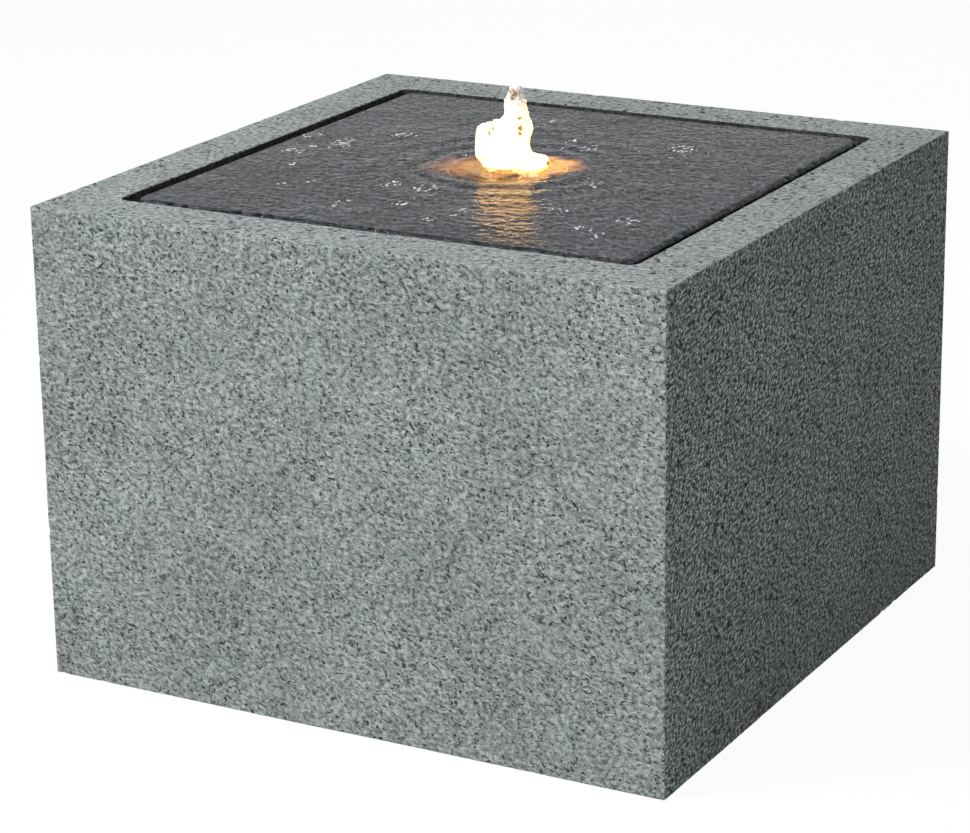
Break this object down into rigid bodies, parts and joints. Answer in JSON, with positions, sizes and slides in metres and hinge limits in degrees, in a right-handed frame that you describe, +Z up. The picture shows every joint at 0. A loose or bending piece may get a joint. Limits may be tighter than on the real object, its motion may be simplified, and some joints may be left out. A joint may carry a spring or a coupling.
{
  "type": "solar garden fountain",
  "caption": "Square hollow granite block with a loose wet cover slab, a lit foam jet in its middle and a low-voltage pump inside.",
  "frame": {"origin": "centre of the block's underside", "axes": "+Z up, +Y towards the back wall with the power inlet, +X to the right seen from the front"},
  "size_m": [0.4, 0.4, 0.334],
  "materials": {
    "granite_dry": "flamed granite, fine light and dark grains",
    "granite_wet": "wet granite, darkened and shiny",
    "water": "clear running water",
    "foam_water": "foamy water lit warm white from below",
    "rubber_black": "soft black rubber",
    "plastic_black": "moulded black plastic",
    "plastic_grey": "moulded dark grey plastic",
    "plastic_blue": "moulded blue plastic",
    "plastic_white": "moulded white plastic",
    "lens_clear": "clear moulded lens",
    "board_white": "white lacquered circuit board",
    "board_green": "green lacquered circuit board",
    "diode": "warm white diode, lit",
    "steel_sheet": "stacked steel laminations",
    "copper_wire": "enamelled copper windings",
    "ferrite": "sintered ferrite magnet",
    "white_ceramic": "ground ceramic",
    "steel_screw": "stainless steel",
    "brass_pin": "plain brass",
    "foam_blue": "open-cell filter foam"
  },
  "bodies": {
    "block": {"granite_block": "granite_dry", "cover_pads": "rubber_black", "water_jet": "foam_water", "nozzle_sleeve": "plastic_black", "nozzle_jet": "plastic_grey", "led_housing": "plastic_black", "led_board": "board_white", "led_chips": "diode", "led_lens": "lens_clear", "riser_pipe": "plastic_grey", "outlet_union": "plastic_grey", "riser_seal": "rubber_black", "led_lead": "rubber_black", "pump_lead": "rubber_black", "lead_clips": "plastic_grey", "pump_base": "plastic_black", "suction_feet": "rubber_black", "pump_housing": "plastic_black", "motor_end_cap": "plastic_black", "stator_core": "steel_sheet", "stator_coils": "copper_wire", "driver_board": "board_green", "volute": "plastic_grey", "volute_seal": "rubber_black", "pump_screws": "steel_screw", "rotor_shaft": "white_ceramic", "rear_bush": "rubber_black", "front_bush": "rubber_black", "inlet_socket": "plastic_black", "inlet_pins": "brass_pin", "inlet_seal": "rubber_black", "inlet_nut": "plastic_grey"},
    "cover": {"cover_slab": "granite_wet", "water_film": "water"},
    "rotor": {"rotor_magnet": "ferrite", "impeller": "plastic_white"},
    "cage": {"strainer_cage": "plastic_black", "filter_foam": "foam_blue"},
    "dial": {"flow_dial": "plastic_blue"}
  },
  "joints": [
    {"name": "cover_lift", "type": "slide", "parent": "block", "child": "cover", "axis": [0, 0, 1], "range_m": [0, 0.11]},
    {"name": "impeller_spin", "type": "hinge", "parent": "block", "child": "rotor", "pos_m": [-0.015, 0, 0.076], "axis": [0, -1, 0], "continuous": true},
    {"name": "strainer_pull", "type": "slide", "parent": "block", "child": "cage", "axis": [0, -1, 0], "range_m": [0, 0.045]},
    {"name": "flow_turn", "type": "hinge", "parent": "cage", "child": "dial", "pos_m": [-0.015, -0.033, 0.076], "axis": [0, -1, 0], "range_deg": [0, 45]}
  ]
}
